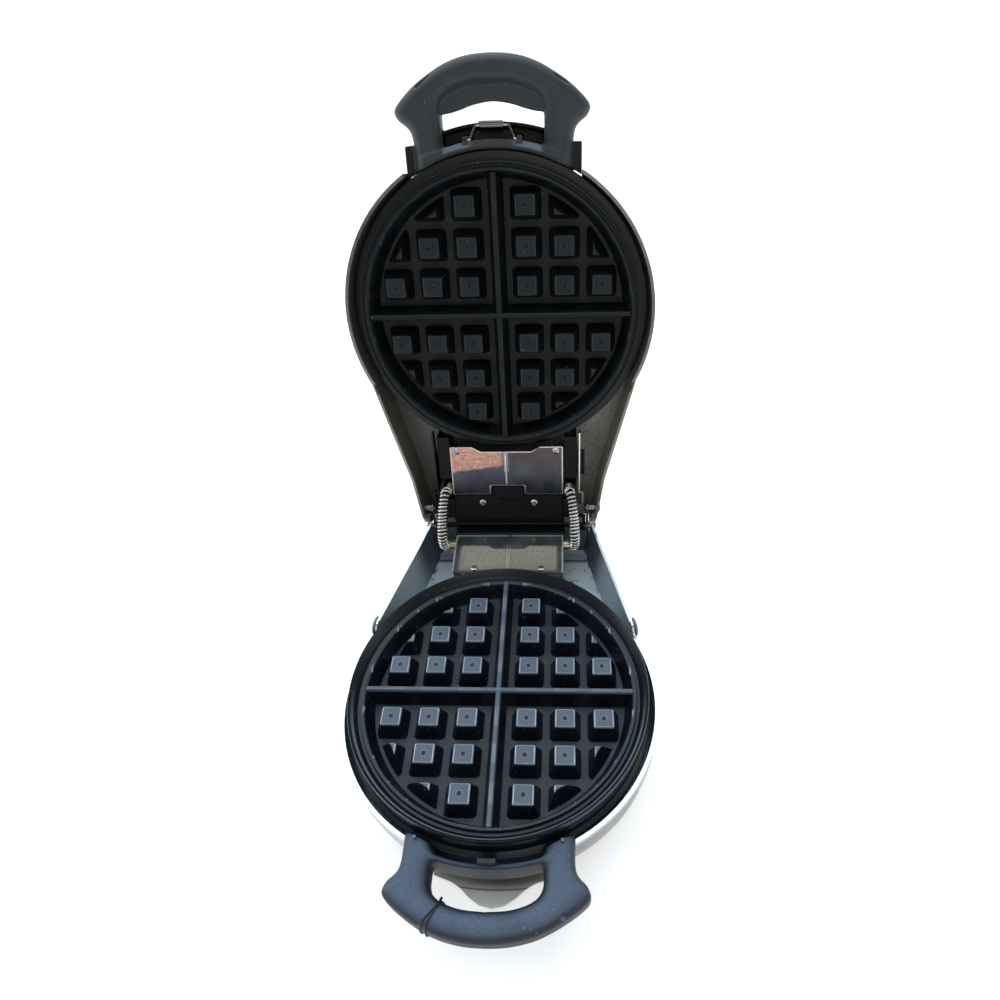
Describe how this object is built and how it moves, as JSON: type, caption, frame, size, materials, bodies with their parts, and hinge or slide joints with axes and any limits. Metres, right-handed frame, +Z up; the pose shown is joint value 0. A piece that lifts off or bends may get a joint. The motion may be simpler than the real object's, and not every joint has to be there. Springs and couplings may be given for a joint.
{
  "type": "waffle maker",
  "caption": "Round Belgian waffle maker with a hinged lid, deep square-pegged plates, loop handles, wire latch, steel shells and sprung leads at the hinge.",
  "frame": {"origin": "on the table plane, under the middle of the part's bounding box as it stands open", "axes": "+Z up, +X to the right along the hinge, -Y towards the user and the lower handle"},
  "size_m": [0.22, 0.4252, 0.3733],
  "materials": {
    "plate_coating": "satin non-stick coating on cast aluminium",
    "stainless": "polished stainless sheet with brown heat stains",
    "ring_plastic": "satin",
    "handle_plastic": "satin",
    "cover_plastic": "satin",
    "bracket_steel": "polished",
    "fastener": "plated",
    "spacer": "plain",
    "link_steel": "bright plated",
    "element_sheath": "dull sheath",
    "reflector": "rolled sheet",
    "control": "moulded",
    "conduit_steel": "wound bright wire",
    "collar_brass": "dull turned collar",
    "ceramic": "glazed",
    "gland_plastic": "satin",
    "lamp": "clear red",
    "rubber": "matt"
  },
  "bodies": {
    "base": {"lower_plate": "plate_coating", "lower_shell": "stainless", "base_pan": "stainless", "lower_trim_ring": "ring_plastic", "lower_handle": "handle_plastic", "rear_wiring_cover": "cover_plastic", "lower_bracket": "bracket_steel", "lower_handle_screws": "fastener", "lower_shell_screws": "fastener", "lower_bracket_screws": "fastener", "rear_cover_screws": "fastener", "lower_plate_screws": "fastener", "foot_screws": "fastener", "locating_pins": "fastener", "lower_hinge_rivets": "fastener", "lower_plate_spacers": "spacer", "hinge_links": "link_steel", "latch_strike": "link_steel", "lower_heating_element": "element_sheath", "lower_heat_reflector": "reflector", "thermostat": "control", "left_conduit": "conduit_steel", "right_conduit": "conduit_steel", "lower_lead_fittings": "collar_brass", "terminal_block": "ceramic", "cord_gland": "gland_plastic", "rubber_feet": "rubber"},
    "lid": {"upper_plate": "plate_coating", "upper_shell": "stainless", "upper_trim_ring": "ring_plastic", "upper_handle": "handle_plastic", "upper_handle_screws": "fastener", "upper_shell_studs": "fastener", "upper_heating_element": "element_sheath", "upper_heat_reflector": "reflector", "upper_plate_screws": "fastener", "upper_plate_spacers": "spacer", "thermal_fuse": "control", "upper_bracket": "bracket_steel", "upper_bracket_screws": "fastener", "hinge_cover": "cover_plastic", "hinge_cover_screws": "fastener", "hinge_side_guards": "ring_plastic", "lid_side_straps": "bracket_steel", "upper_hinge_rivets": "fastener", "upper_lead_fittings": "conduit_steel", "indicator_lamp": "lamp"},
    "latch": {"latch_wire": "link_steel", "latch_clip": "link_steel"}
  },
  "joints": [
    {"name": "lid_hinge", "type": "hinge", "parent": "base", "child": "lid", "pos_m": [0, 0.0992, 0.0717], "axis": [1, 0, 0], "range_deg": [0, 107.6], "deforming": ["left_conduit", "right_conduit"]},
    {"name": "latch_swing", "type": "hinge", "parent": "lid", "child": "latch", "pos_m": [0, 0.17761, 0.32946], "axis": [1, 0, 0], "range_deg": [0, 115]}
  ]
}
